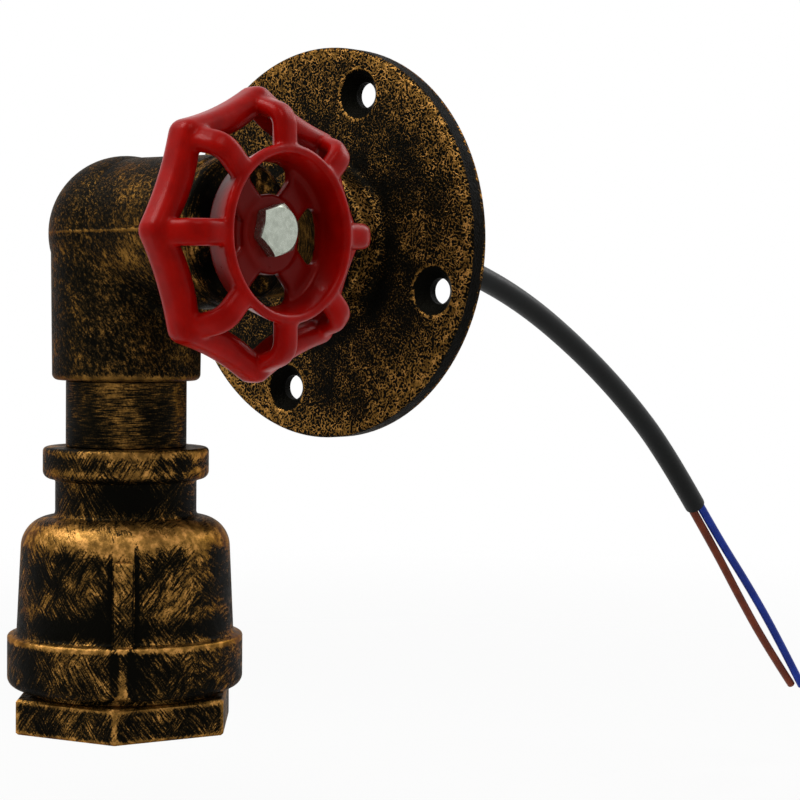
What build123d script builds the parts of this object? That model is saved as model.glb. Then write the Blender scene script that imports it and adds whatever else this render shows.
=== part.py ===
from build123d import *
import os
from math import cos, pi, radians, sin, tan

# Industrial pipe wall light, in millimetres.
# Origin: centre of the wall flange's back face. The wall is the plane Y = 0 and the light stands out
# towards -Y. +Z is up, and +X points along the sideways leg to the handwheel.
# Stations are distances along an axis: from the wall for the horizontal pipe, and from the elbow's
# centre for the drop and for the sideways branch.

os.makedirs("parts", exist_ok=True)

# ---------------------------------------------------------------- driving sizes
# 3/4 inch pipe and its threads
pipe_od = 26.9
pipe_wall = 2.6
thread_cut = 0.3            # radius that the thread takes off the pipe
thread_gap = 0.05           # radial gap left in a made-up thread
pipe_grip = 10.4            # pipe inside the elbow and the cup
pipe_end_chamfer = 0.8
tapping_spare = 1.0         # tapped depth past the pipe's end

# wall flange
flange_od = 95.4
flange_thick = 5.0
flange_edge_round = 0.9
hub_base_od = 39.6
hub_nose_od = 37.6
hub_height = 11.2           # nose of the hub, from the wall
hub_root_round = 2.4
hub_nose_round = 1.3
screw_pcd = 75.2
screw_count = 4
screw_turn = -18.2          # degrees, first hole from +X towards +Z
screw_hole = 6.2
screw_sink_od = 12.2
screw_sink_angle = 90

# horizontal and vertical nipples
nipple_show = 24.7          # pipe that shows between hub and elbow
nipple_setback = 2.2        # wall end of the pipe, from the wall
drop_show = 14.9            # pipe that shows between elbow and cup

# three-way elbow
elbow_reach = 32.6          # centre to each face
elbow_ball_od = 34.8
elbow_leg_od = 33.8         # legs taper from here
elbow_face_od = 33.0
elbow_crease_round = 3.2
elbow_face_round = 1.4
elbow_passage = 24.0

# bell-shaped cup, a reducing socket
ring_od = 37.0
ring_height = 6.7
ring_top_round = 1.0
ring_foot_round = 1.8
neck_od = 31.5
neck_length = 8.8
shoulder_round = 6.9
shoulder_flat = 0.35        # least flat left inside that rounding
bell_top_od = 46.0
bell_foot_od = 48.4
bell_length = 25.9          # shoulder to the lower band
band_proud = 2.05           # band's radius past the bell's foot
band_height = 12.1
band_top_round = 0.7
band_foot_round = 2.4
crown_wall = 4.4
cavity_od = 39.2
cavity_round = 4.5
rib_count = 2
rib_turn = -43.2            # degrees about the drop, first rib
rib_width = 4.5
rib_proud = 2.3             # out from the bell's top radius
rib_drop = 8.0              # top of the rib below the shoulder
rib_round = 0.8
rib_root_gap = 0.35         # root of the rib outside the bush's thread

# hexagon bush
bush_thread_od = 41.8
bush_grip = 13.0
hex_across_flats = 45.4
hex_height = 7.8
hex_neck = 1.4              # plain neck between the cup and the hexagon
hex_turn = 12.8             # degrees about the drop, first corner
hex_edge_chamfer = 0.5
mouth_chamfer = 1.0

# plug in the sideways leg
plug_head_od = 32.4
plug_head = 4.2
plug_round = 2.6
plug_wall = 5.0

# handwheel, hanging a little low on the shank of its bolt
wheel_gap = 0.3             # plug to hub
wheel_sag = 0.9
wheel_turn = 0.8            # degrees about the branch, first lobe
wheel_hub_od = 16.6
wheel_hub_length = 8.0
wheel_web = 2.0
wheel_web_station = 7.6     # front of the web ahead of the hub's back
wheel_ring_bore = 31.0      # at the web
wheel_ring_flare = 1.4      # radius that the bore gains towards its front
wheel_ring_wall = 2.4       # at its front
wheel_ring_back_wall = 0.9  # at the back of the web
wheel_ring_lift = 6.6       # ring's front ahead of the web
wheel_lobes = 8
wheel_arms = 4
wheel_arm_width = 7.4
wheel_window_round = 2.4    # corners of a window at the ring
wheel_window_inner_round = 1.0
rim_corner_od = 62.6        # over the corners of the rim
rim_waist_od = 56.6         # over the middles of its hollow sides
rim_width = 6.0
rim_depth = 7.4
rim_corner_round = 3.3
rim_inner_round = 1.4
rim_station = 2.6           # middle of the rim ahead of the hub's back
rim_edge_round = 2.7
spoke_width = 5.6           # round the wheel
spoke_thick = 3.8
spoke_setback = 2.3         # spoke's middle behind the ring's front
knuckle_inset = 6.2         # corner of a spoke's bend in from the rim's corner
knuckle_round = 3.6         # radius of that bend
spoke_foot_inset = 3.1      # spoke's foot in from the rim's corner

# bolt of the handwheel
bolt_shank = 6.0
bolt_across_flats = 10.0
bolt_head = 2.8
bolt_turn = 17.0
bolt_face_od = 9.5          # round face inside the head's trimmed corners
bolt_corner_trim = 0.6      # depth of that trim at the corners
bolt_running_gap = 0.06     # radial, top of the shank to hub
bolt_end_play = 0.15
bolt_grip = 7.6             # shank inside the plug's head and wall

# lampholder for an E27 lamp
lamp_thread_bore = 26.9     # inside of the screw shell
shell_wall = 0.6
shell_length = 24.8
shell_cone = 3.4            # height of the cone, clear of the rivets and the contact
shell_gap = 0.15
shell_ear_bore = 12.4
shell_ear_od = 21.0         # flat of the ear; a cone joins it to the shell
skirt_wall = 2.1
skirt_gap = 0.4             # skirt to the bush
skirt_past_shell = 0.6
holder_od = 36.8
holder_floor = 3.6
holder_recess_od = 23.6
holder_round = 1.2
cushion_thick = 2.0
cushion_od = 30.0
cushion_bore = 25.2
terminal_depth = 5.6        # recess above the floor
terminal_thick = 1.4
terminal_inset = 3.4        # flat side of each terminal from the axis
terminal_edge_gap = 0.4
terminal_screw_shank = 2.8
terminal_screw_head = 5.4
terminal_screw_head_high = 1.8
neutral_screw_at = (8.0, 1.9)
line_screw_at = (7.0, 4.4)
terminal_screw_slot = 0.8
terminal_screw_bite = 2.4
lead_at = (6.4, -3.8)
rivet_shank = 1.8
rivet_head = 3.2
rivet_head_high = 0.8
shell_rivet_at = (4.9, 7.0)
contact_rivet_at = 7.6
contact_width = 5.0
contact_strip = 0.6
contact_root_end = 5.6
contact_hinge_at = 5.4
contact_reach = 3.4         # tip past the drop's axis
contact_fall = 2.4          # tip below the floor's underside
contact_slit = 0.2          # floor to the top of the blade at its hinge

# 2-core cable
cable_od = 6.2
core_od = 2.5
core_pitch = 2.7            # between the two cores' centres
cable_gap = 0.05
grommet_length = 7.0
grommet_lip = 1.6
grommet_lip_gap = 0.4       # lip inside the wall plane
sheath_end_station = 56.0

# ---------------------------------------------------------------- derived places
pipe_r = pipe_od / 2
pipe_bore_r = pipe_r - pipe_wall
thread_r = pipe_r - thread_cut
tapping_r = thread_r + thread_gap
axis_reach = hub_height + nipple_show + elbow_reach
tapping_depth = pipe_grip + tapping_spare

cup_top = elbow_reach + drop_show
neck_top = cup_top + ring_height
shoulder = neck_top + neck_length
ceiling = shoulder + crown_wall
band_top = shoulder + bell_length
cup_end = band_top + band_height
band_od = bell_foot_od + 2 * band_proud
shoulder_fit = min(shoulder_round, (bell_top_od - neck_od) / 2 - shoulder_flat)
bush_top = cup_end - bush_grip
hex_top = cup_end + hex_neck
bush_end = hex_top + hex_height
bush_thread_r = bush_thread_od / 2

lamp_r = lamp_thread_bore / 2
shell_r = lamp_r + shell_wall
skirt_bore_r = shell_r + shell_gap
skirt_r = skirt_bore_r + skirt_wall
mouth_r = skirt_r + skirt_gap
holder_top = ceiling + cushion_thick
terminal_seat = holder_top + terminal_depth
terminal_top = terminal_seat - terminal_thick
floor_under = terminal_seat + holder_floor
shell_end = floor_under + shell_length
holder_end = shell_end + skirt_past_shell

plug_front = elbow_reach + plug_head
wheel_back = plug_front + wheel_gap
web_front = wheel_back + wheel_web_station
web_back = web_front - wheel_web
hub_front = wheel_back + wheel_hub_length
ring_front = web_front + wheel_ring_lift
rim_middle = wheel_back + rim_station
bolt_seat = hub_front + bolt_end_play
bolt_front = bolt_seat + bolt_head

elbow_centre = (0, -axis_reach, 0)
wheel_centre = (0, -axis_reach, -wheel_sag)
wall_plane = Plane(origin=(0, 0, 0), x_dir=(1, 0, 0), z_dir=(0, 0, -1))
drop_plane = Plane(origin=elbow_centre, x_dir=(1, 0, 0), z_dir=(0, 1, 0))
branch_plane = Plane(origin=elbow_centre, x_dir=(0, 0, 1), z_dir=(0, 1, 0))
wheel_plane = Plane(origin=wheel_centre, x_dir=(0, 0, 1), z_dir=(0, 1, 0))
wall_axis = Axis((0, 0, 0), (0, -1, 0))
drop_axis = Axis(elbow_centre, (0, 0, -1))
branch_axis = Axis(elbow_centre, (1, 0, 0))
wheel_axis = Axis(wheel_centre, (1, 0, 0))


def section(plane, corners):
    """Closed outline on a plane from (radius, station, rounding) corners."""
    with BuildSketch(plane) as outline:
        with BuildLine():
            FilletPolyline(*[(r, s) for r, s, _ in corners], radius=[f for *_, f in corners], close=True)
        make_face()
    return outline.sketch


def across_drop(station):
    """Plane square to the drop, at a station below the elbow's centre; its normal points down."""
    return Plane(origin=(0, -axis_reach, -station), x_dir=(1, 0, 0), z_dir=(0, 0, -1))


def across_branch(station):
    """Plane square to the sideways leg, at a station from the elbow's centre."""
    return Plane(origin=(station, -axis_reach, 0), x_dir=(0, 1, 0), z_dir=(1, 0, 0))


def across_wheel(station):
    """Plane square to the handwheel's own axis, at a station along the branch, turned with the wheel."""
    return Plane(origin=(station, -axis_reach, -wheel_sag), x_dir=(0, 1, 0), z_dir=(1, 0, 0)).rotated(
        (0, 0, wheel_turn))


def on_wheel(station, radius, lobe):
    """Point on the handwheel at a station and a radius, in the direction of a lobe."""
    turn = wheel_turn + 360 / wheel_lobes * lobe
    return Vector(station, radius, 0).rotate(Axis.X, turn) + Vector(*wheel_centre)


def on_drop(x, y, station):
    """Point beside the drop's axis at a station."""
    return (x, y - axis_reach, -station)


def nipple_section(plane, start, end, start_grip, end_grip):
    """Half section of a nipple whose two ends are cut down for the thread."""
    return section(plane, [
        (pipe_bore_r, start, 0),
        (thread_r - pipe_end_chamfer, start, 0),
        (thread_r, start + pipe_end_chamfer, 0),
        (thread_r, start + start_grip, 0),
        (pipe_r, start + start_grip + thread_cut, 0),
        (pipe_r, end - end_grip - thread_cut, 0),
        (thread_r, end - end_grip, 0),
        (thread_r, end - pipe_end_chamfer, 0),
        (thread_r - pipe_end_chamfer, end, 0),
        (pipe_bore_r, end, 0),
    ])


def corner_radii(points):
    """Radius at each corner of a cord: 0.45 of the shorter run over the tangent of half the turn."""
    radii = []
    for before, here, after in zip(points, points[1:], points[2:]):
        run_in = Vector(*here) - Vector(*before)
        run_out = Vector(*after) - Vector(*here)
        half_turn = radians(run_in.get_angle(run_out) / 2)
        radii.append(0.45 * min(run_in.length, run_out.length) / tan(half_turn))
    return radii


def cord_route(points):
    """Path of straight runs joined by tangent arcs."""
    with BuildLine() as route:
        FilletPolyline(*points, radius=corner_radii(points))
    return route.wire()


def report_cord(name, solid, route, diameter, points):
    """Print a cord's radii, and its volume against its section times its length."""
    expected = pi * diameter ** 2 / 4 * route.length
    radii = ", ".join(f"{r:.0f}" for r in corner_radii(points))
    print(f"{name}: length {route.length:.1f}, volume {solid.volume / expected:.4f} of section x length, "
          f"radii {radii}, diameter {diameter}")


# ---------------------------------------------------------------- wall flange
with BuildPart() as wall_flange:
    revolve(section(wall_plane, [
        (tapping_r, 0, 0),
        (flange_od / 2, 0, 0),
        (flange_od / 2, flange_thick, flange_edge_round),
        (hub_base_od / 2, flange_thick, hub_root_round),
        (hub_nose_od / 2, hub_height, hub_nose_round),
        (tapping_r, hub_height, 0),
    ]), axis=wall_axis)
    with Locations(Plane(origin=(0, -flange_thick, 0), x_dir=(1, 0, 0), z_dir=(0, -1, 0))):
        with PolarLocations(screw_pcd / 2, screw_count, start_angle=screw_turn, rotate=False):
            CounterSinkHole(screw_hole / 2, screw_sink_od / 2, counter_sink_angle=screw_sink_angle)

# ---------------------------------------------------------------- nipples
with BuildPart() as flange_nipple:
    revolve(nipple_section(wall_plane, nipple_setback, axis_reach - elbow_reach + pipe_grip,
                           hub_height - nipple_setback, pipe_grip), axis=wall_axis)

with BuildPart() as drop_nipple:
    revolve(nipple_section(drop_plane, elbow_reach - pipe_grip, cup_top + pipe_grip,
                           pipe_grip, pipe_grip), axis=drop_axis)

# ---------------------------------------------------------------- three-way elbow
legs = [(0, 1, 0), (0, 0, -1), (1, 0, 0)]
face_planes = [Plane(origin=Vector(*elbow_centre) + Vector(*leg) * elbow_reach, z_dir=leg) for leg in legs]
with BuildPart() as corner_elbow:
    with Locations(elbow_centre):
        Sphere(elbow_ball_od / 2)
    for leg, face_plane in zip(legs, face_planes):
        with BuildSketch(Plane(origin=elbow_centre, z_dir=leg)):
            Circle(elbow_leg_od / 2)
        with BuildSketch(face_plane):
            Circle(elbow_face_od / 2)
        loft()
    creases = [edge for edge in corner_elbow.edges()
               if edge.geom_type == GeomType.BSPLINE
               or edge.geom_type == GeomType.CIRCLE
               and (edge.center() - Vector(*elbow_centre)).length < elbow_reach / 2]
    fillet(creases, elbow_crease_round)
    fillet([corner_elbow.faces().sort_by(Axis(elbow_centre, leg))[-1].edges()[0] for leg in legs],
           elbow_face_round)
    for leg, face_plane in zip(legs, face_planes):
        with BuildSketch(face_plane):
            Circle(tapping_r)
        extrude(amount=-tapping_depth, mode=Mode.SUBTRACT)
        with BuildSketch(Plane(origin=elbow_centre, z_dir=leg)):
            Circle(elbow_passage / 2)
        extrude(amount=elbow_reach, mode=Mode.SUBTRACT)
    with Locations(elbow_centre):
        Sphere(elbow_passage / 2, mode=Mode.SUBTRACT)

# ---------------------------------------------------------------- bell cup
with BuildPart() as bell_cup:
    revolve(section(drop_plane, [
        (tapping_r, cup_top, 0),
        (ring_od / 2, cup_top, ring_top_round),
        (ring_od / 2, neck_top, ring_foot_round),
        (neck_od / 2, neck_top + (ring_od - neck_od) / 8, 0.6),
        (neck_od / 2, shoulder, 1.2),
        (bell_top_od / 2, shoulder, shoulder_fit),
        (bell_foot_od / 2, band_top, 1.0),
        (band_od / 2, band_top + (band_od - bell_foot_od) / 8, band_top_round),
        (band_od / 2, cup_end, band_foot_round),
        (bush_thread_r + thread_gap, cup_end, 0),
        (bush_thread_r + thread_gap, bush_top - tapping_spare, 0),
        (cavity_od / 2, bush_top - tapping_spare, 0),
        (cavity_od / 2, ceiling, cavity_round),
        (elbow_passage / 2, ceiling, 0),
        (elbow_passage / 2, cup_top + tapping_depth, 0),
        (tapping_r, cup_top + tapping_depth, 0),
    ]), axis=drop_axis)
    rib_r = bell_top_od / 2 + rib_proud
    rib_foot_r = bush_thread_r + rib_root_gap
    rib_start = shoulder + rib_drop
    with BuildSketch(across_drop(rib_start)):
        with PolarLocations((rib_r + rib_foot_r) / 2, rib_count, start_angle=-rib_turn):
            Rectangle(rib_r - rib_foot_r, rib_width)
    extrude(amount=band_top - rib_start + 1.2)
    rib_tops = bell_cup.faces().filter_by(lambda face: face.normal_at().Z > 0.99
                                          and abs(face.center().Z + rib_start) < 0.01)
    fillet(rib_tops.edges().filter_by(GeomType.LINE), rib_round)


# ---------------------------------------------------------------- hexagon bush
with BuildPart() as hex_bush:
    with BuildSketch(across_drop(hex_top)):
        RegularPolygon(hex_across_flats / 2, 6, major_radius=False, rotation=-hex_turn)
    extrude(amount=hex_height)
    chamfer(hex_bush.edges().filter_by(Plane.XY), hex_edge_chamfer)
    with BuildSketch(across_drop(bush_top)):
        Circle(bush_thread_r)
    extrude(amount=hex_top - bush_top)
    with BuildSketch(across_drop(bush_top)):
        Circle(mouth_r)
    extrude(amount=bush_end - bush_top, mode=Mode.SUBTRACT)
    face_circles = hex_bush.faces().sort_by(Axis.Z)[0].edges().filter_by(GeomType.CIRCLE)
    chamfer(face_circles.sort_by(SortBy.RADIUS)[0], mouth_chamfer)

# ---------------------------------------------------------------- plug of the sideways leg
with BuildPart() as branch_plug:
    revolve(section(branch_plane, [
        (0, elbow_reach - pipe_grip, 0),
        (thread_r - pipe_end_chamfer, elbow_reach - pipe_grip, 0),
        (thread_r, elbow_reach - pipe_grip + pipe_end_chamfer, 0),
        (thread_r, elbow_reach, 0),
        (plug_head_od / 2, elbow_reach, 0),
        (plug_head_od / 2, plug_front, plug_round),
        (0, plug_front, 0),
    ]), axis=branch_axis)
    with BuildSketch(across_branch(elbow_reach - pipe_grip)):
        Circle(thread_r - plug_wall)
    extrude(amount=pipe_grip + plug_head - plug_wall, mode=Mode.SUBTRACT)
    with BuildSketch(across_branch(elbow_reach - pipe_grip)):
        Circle(bolt_shank / 2 + thread_gap)
    extrude(amount=pipe_grip + plug_head, mode=Mode.SUBTRACT)


# ---------------------------------------------------------------- handwheel
def lobed_outline(corner_r, waist_r, rounding):
    """Face bounded by a star with rounded corners and hollow sides, one corner for each lobe.

    A corner's arc and a side's arc touch: their centres lie rounding + hollow_r apart.
    """
    half_step = pi / wheel_lobes
    corner_centre = corner_r - rounding
    rise = rounding - waist_r
    hollow_centre = (corner_centre ** 2 - rise ** 2) / (2 * (rise + corner_centre * cos(half_step)))
    hollow_r = hollow_centre - waist_r
    share = rounding / (rounding + hollow_r)
    touch = corner_centre + (hollow_centre * cos(half_step) - corner_centre) * share
    touch_side = hollow_centre * sin(half_step) * share
    with BuildSketch() as face:
        with BuildLine():
            for lobe in range(wheel_lobes):
                turn = 2 * half_step * lobe

                def placed(x, y, turn=turn):
                    return (x * cos(turn) - y * sin(turn), x * sin(turn) + y * cos(turn))

                ThreePointArc(placed(touch, -touch_side), placed(corner_r, 0), placed(touch, touch_side))
                ThreePointArc(
                    placed(touch, touch_side),
                    placed(waist_r * cos(half_step), waist_r * sin(half_step)),
                    placed(touch * cos(2 * half_step) + touch_side * sin(2 * half_step),
                           touch * sin(2 * half_step) - touch_side * cos(2 * half_step)),
                )
        make_face()
    return face.sketch


wheel_hole_r = bolt_shank / 2 + wheel_sag + bolt_running_gap
wheel_hub_r = wheel_hub_od / 2
ring_bore_r = wheel_ring_bore / 2
ring_mouth_r = ring_bore_r + wheel_ring_flare
ring_r = ring_mouth_r + wheel_ring_wall
rim_corner_r = rim_corner_od / 2
rim_waist_r = rim_waist_od / 2
spoke_in = ring_mouth_r + wheel_ring_wall / 3
spoke_station = ring_front - spoke_setback

with BuildPart() as handwheel:
    with BuildSketch(across_wheel(rim_middle - rim_depth / 2)):
        add(lobed_outline(rim_corner_r, rim_waist_r, rim_corner_round))
        add(lobed_outline(rim_corner_r - rim_width, rim_waist_r - rim_width, rim_inner_round),
            mode=Mode.SUBTRACT)
    extrude(amount=rim_depth)
    fillet(handwheel.edges().filter_by(lambda edge: abs(edge.center().X - rim_middle) > rim_depth / 4),
           rim_edge_round)
    for lobe in range(wheel_lobes):
        root = on_wheel(spoke_station, spoke_in, lobe)
        bend = on_wheel(spoke_station, rim_corner_r - knuckle_inset, lobe)
        foot = on_wheel(rim_middle, rim_corner_r - spoke_foot_inset, lobe)
        with BuildLine() as spoke_line:
            FilletPolyline(root, bend, foot, radius=knuckle_round)
        with BuildSketch(Plane(origin=root, x_dir=(1, 0, 0), z_dir=bend - root)):
            SlotOverall(spoke_width, spoke_thick, rotation=90)
        sweep(path=spoke_line.wire())
    revolve(section(wheel_plane, [
        (wheel_hole_r, wheel_back, 0),
        (wheel_hub_r, wheel_back, 0.6),
        (wheel_hub_r, web_back, 0.5),
        (ring_bore_r + wheel_ring_back_wall, web_back, 0.9),
        (ring_r, ring_front, 1.1),
        (ring_mouth_r, ring_front, 1.0),
        (ring_bore_r, web_front, 1.4),
        (wheel_hub_r, web_front, 0),
        (wheel_hub_r, hub_front, 0.3),
        (wheel_hole_r, hub_front, 0),
    ]), axis=wheel_axis)
    with BuildSketch(across_wheel(web_front)):
        Circle(ring_bore_r - 0.2)
        Circle(wheel_hub_r + 0.2, mode=Mode.SUBTRACT)
        with PolarLocations(0, wheel_arms, start_angle=45):
            with Locations((ring_bore_r / 2, 0)):
                Rectangle(ring_bore_r, wheel_arm_width, mode=Mode.SUBTRACT)
        middle_r = (wheel_hub_r + ring_bore_r) / 2
        fillet(vertices().filter_by(lambda corner: Vector(corner.X, corner.Y).length > middle_r),
               wheel_window_round)
        fillet(vertices().filter_by(lambda corner: Vector(corner.X, corner.Y).length < middle_r),
               wheel_window_inner_round)
    extrude(amount=-wheel_web, mode=Mode.SUBTRACT)

# ---------------------------------------------------------------- bolt of the handwheel
with BuildPart() as wheel_bolt:
    with BuildSketch(across_branch(bolt_seat)):
        RegularPolygon(bolt_across_flats / 2, 6, major_radius=False, rotation=bolt_turn)
    extrude(amount=bolt_head)
    bolt_corner_r = bolt_across_flats / 2 / cos(pi / 6)
    revolve(section(branch_plane, [
        (0, bolt_seat, 0),
        (bolt_corner_r, bolt_seat, 0),
        (bolt_corner_r, bolt_front - bolt_corner_trim, 0),
        (bolt_face_od / 2, bolt_front, 0),
        (0, bolt_front, 0),
    ]), axis=branch_axis, mode=Mode.INTERSECT)
    with BuildSketch(across_branch(bolt_seat)):
        Circle(bolt_shank / 2)
    extrude(amount=-(bolt_end_play + wheel_hub_length + wheel_gap + bolt_grip))

# ---------------------------------------------------------------- lampholder
# spots in the planes across the drop, whose local Y runs towards -Y
neutral_screw = (neutral_screw_at[0], -neutral_screw_at[1])
line_screw = (-line_screw_at[0], -line_screw_at[1])
shell_rivet_spots = [(shell_rivet_at[0], shell_rivet_at[1]), (shell_rivet_at[0], -shell_rivet_at[1])]
with BuildPart() as lampholder_body:
    revolve(section(drop_plane, [
        (holder_recess_od / 2, holder_top, 0),
        (holder_od / 2, holder_top, holder_round),
        (holder_od / 2, bush_top, 0),
        (skirt_r, bush_top, 0),
        (skirt_r, holder_end, 0.6),
        (skirt_bore_r, holder_end, 0.6),
        (skirt_bore_r, floor_under, 0),
        (0, floor_under, 0),
        (0, terminal_seat, 0),
        (holder_recess_od / 2, terminal_seat, 0),
    ]), axis=drop_axis)
    with BuildSketch(across_drop(terminal_seat)):
        with Locations(neutral_screw, line_screw):
            Circle(terminal_screw_shank / 2 + thread_gap)
    extrude(amount=terminal_screw_bite + 0.2, mode=Mode.SUBTRACT)
    with BuildSketch(across_drop(terminal_seat)):
        with Locations(*shell_rivet_spots, (-contact_rivet_at, 0)):
            Circle(rivet_shank / 2 + thread_gap)
    extrude(amount=holder_floor, mode=Mode.SUBTRACT)

with BuildPart() as cushion_ring:
    with BuildSketch(across_drop(ceiling)):
        Circle(cushion_od / 2)
        Circle(cushion_bore / 2, mode=Mode.SUBTRACT)
    extrude(amount=cushion_thick)

with BuildPart() as screw_shell:
    revolve(section(drop_plane, [
        (shell_ear_bore / 2, floor_under, 0),
        (shell_ear_od / 2, floor_under, 0),
        (shell_r, floor_under + shell_cone, 0),
        (shell_r, shell_end, 0),
        (lamp_r, shell_end, 0),
        (lamp_r, floor_under + shell_cone, 0),
        (shell_ear_od / 2 - shell_wall / 2, floor_under + shell_wall, 0),
        (shell_ear_bore / 2, floor_under + shell_wall, 0),
    ]), axis=drop_axis)
    with BuildSketch(across_drop(floor_under)):
        Circle(lamp_r - shell_wall)
        with Locations((terminal_inset - 1.0 + lamp_r / 2, 0)):
            Rectangle(lamp_r, lamp_r * 2, mode=Mode.SUBTRACT)
    extrude(amount=shell_cone / 2, mode=Mode.SUBTRACT)
    with BuildSketch(across_drop(floor_under)):
        with Locations(*shell_rivet_spots):
            Circle(rivet_shank / 2 + thread_gap)
    extrude(amount=shell_wall, mode=Mode.SUBTRACT)

# terminals: two plates with the recess's round outline
terminal_r = holder_recess_od / 2 - terminal_edge_gap
plate_span = terminal_r - terminal_inset
with BuildPart() as neutral_terminal:
    with BuildSketch(across_drop(terminal_top)):
        Circle(terminal_r)
        with Locations((terminal_inset + plate_span / 2, 0)):
            Rectangle(plate_span, terminal_r * 2, mode=Mode.INTERSECT)
        with Locations(neutral_screw):
            Circle(terminal_screw_shank / 2 + thread_gap, mode=Mode.SUBTRACT)
        with Locations(*shell_rivet_spots):
            Circle(rivet_shank / 2 + thread_gap, mode=Mode.SUBTRACT)
    extrude(amount=terminal_thick)

with BuildPart() as line_terminal:
    with BuildSketch(across_drop(terminal_top)):
        Circle(terminal_r)
        with Locations((-terminal_inset - plate_span / 2, 0)):
            Rectangle(plate_span, terminal_r * 2, mode=Mode.INTERSECT)
        with Locations(line_screw):
            Circle(terminal_screw_shank / 2 + thread_gap, mode=Mode.SUBTRACT)
        with Locations((-contact_rivet_at, 0)):
            Circle(rivet_shank / 2 + thread_gap, mode=Mode.SUBTRACT)
    extrude(amount=terminal_thick)

with BuildPart() as terminal_screws:
    with BuildSketch(across_drop(terminal_top - terminal_screw_head_high)):
        with Locations(neutral_screw, line_screw):
            Circle(terminal_screw_head / 2)
    extrude(amount=terminal_screw_head_high)
    with BuildSketch(across_drop(terminal_top)):
        with Locations(neutral_screw, line_screw):
            Circle(terminal_screw_shank / 2)
    extrude(amount=terminal_thick + terminal_screw_bite)
    with BuildSketch(across_drop(terminal_top - terminal_screw_head_high)):
        with Locations(neutral_screw, line_screw):
            Rectangle(terminal_screw_head + 1, terminal_screw_slot)
    extrude(amount=terminal_screw_head_high / 2, mode=Mode.SUBTRACT)

with BuildPart() as shell_rivets:
    with BuildSketch(across_drop(terminal_top)):
        with Locations(*shell_rivet_spots):
            Circle(rivet_shank / 2)
    extrude(amount=floor_under + shell_wall - terminal_top)
    with BuildSketch(across_drop(floor_under + shell_wall)):
        with Locations(*shell_rivet_spots):
            Circle(rivet_head / 2)
    extrude(amount=rivet_head_high)

with BuildPart() as contact_rivet:
    with BuildSketch(across_drop(terminal_top)):
        with Locations((-contact_rivet_at, 0)):
            Circle(rivet_shank / 2)
    extrude(amount=floor_under - terminal_top)
    with BuildSketch(across_drop(floor_under)):
        with Locations((-contact_rivet_at, 0)):
            Rectangle(2 * (contact_rivet_at - contact_root_end), contact_width)
    extrude(amount=contact_strip)
    with BuildSketch(across_drop(floor_under + contact_strip)):
        with Locations((-contact_rivet_at, 0)):
            Circle(rivet_head / 2)
    extrude(amount=rivet_head_high)

blade_start = floor_under + contact_slit + contact_strip / 2
blade_low = floor_under + contact_fall
with BuildPart() as centre_contact:
    with BuildSketch(drop_plane.offset(contact_width / 2)):
        with BuildLine():
            FilletPolyline((-contact_hinge_at, blade_start), (contact_reach - 3.2, blade_low),
                           (contact_reach, blade_low - 0.3), radius=2.0)
        trace(line_width=contact_strip)
    extrude(amount=-contact_width)

# ---------------------------------------------------------------- grommet
grommet_bore_r = cable_od / 2 + cable_gap
with BuildPart() as cable_grommet:
    revolve(section(wall_plane, [
        (grommet_bore_r, grommet_lip_gap, 0),
        (thread_r - thread_cut, grommet_lip_gap, 0.4),
        (thread_r - thread_cut, grommet_lip_gap + grommet_lip, 0),
        (pipe_bore_r - thread_gap, grommet_lip_gap + grommet_lip, 0),
        (pipe_bore_r - thread_gap, grommet_lip_gap + grommet_length, 0.6),
        (grommet_bore_r, grommet_lip_gap + grommet_length, 0),
    ]), axis=wall_axis)

# ---------------------------------------------------------------- cable
# free stretch outside the wall plane, drooping under its own weight
supply_points = [
    (0, 0, 0), (0, 24, 0), (0, 50, -4.5), (0, 76, -13.2), (0, 102, -26.4),
    (0, 126, -41.6), (0, 146, -57.4), (0, 162.5, -74.2),
]
supply_route = cord_route(supply_points)
with BuildPart() as supply_cable:
    with BuildSketch(Plane(origin=supply_route @ 0, z_dir=supply_route % 0)):
        Circle(cable_od / 2)
    sweep(path=supply_route)

# the same cable inside the pipes, laid into the inside of the bend
inner_points = [
    (0, 0, 0), (0, -14, 0), (0, -32, -4.4), (0, -63.8, -4.9),
    (0, -64.2, -34), (0, -axis_reach, -48), (0, -axis_reach, -sheath_end_station),
]
inner_route = cord_route(inner_points)
with BuildPart() as inner_cable:
    with BuildSketch(Plane(origin=inner_route @ 0, z_dir=inner_route % 0)):
        Circle(cable_od / 2)
    sweep(path=inner_route)

# stripped cores at the free end, side by side out of the sheath's cut face
tail_start = supply_route @ 1
tail_way = supply_route % 1
tail_side = Vector(0.6, 0.8 * -tail_way.Z, 0.8 * tail_way.Y)
tail_shapes = {
    "brown": (-1, [(0, 0, 0), (19, 0, 0), (41, -0.7, 0.3), (64, -0.9, 0.2), (86.3, 0.1, -0.6)]),
    "blue": (1, [(0, 0, 0), (17, 0, 0), (39, 0.9, -0.4), (63, 1.0, -0.3), (88.0, 0.0, 0.7)]),
}


def tail_points(side, shape):
    """Points of one core: distances along the sheath's end direction, aside from it, and across."""
    start = tail_start + tail_side * (side * core_pitch / 2)
    return [tuple(start + tail_way * along + tail_side * aside + tail_way.cross(tail_side) * across)
            for along, aside, across in shape]


brown_tail_points = tail_points(*tail_shapes["brown"])
brown_tail_route = cord_route(brown_tail_points)
with BuildPart() as brown_tail:
    with BuildSketch(Plane(origin=brown_tail_route @ 0, z_dir=brown_tail_route % 0)):
        Circle(core_od / 2)
    sweep(path=brown_tail_route)

blue_tail_points = tail_points(*tail_shapes["blue"])
blue_tail_route = cord_route(blue_tail_points)
with BuildPart() as blue_tail:
    with BuildSketch(Plane(origin=blue_tail_route @ 0, z_dir=blue_tail_route % 0)):
        Circle(core_od / 2)
    sweep(path=blue_tail_route)


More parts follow.
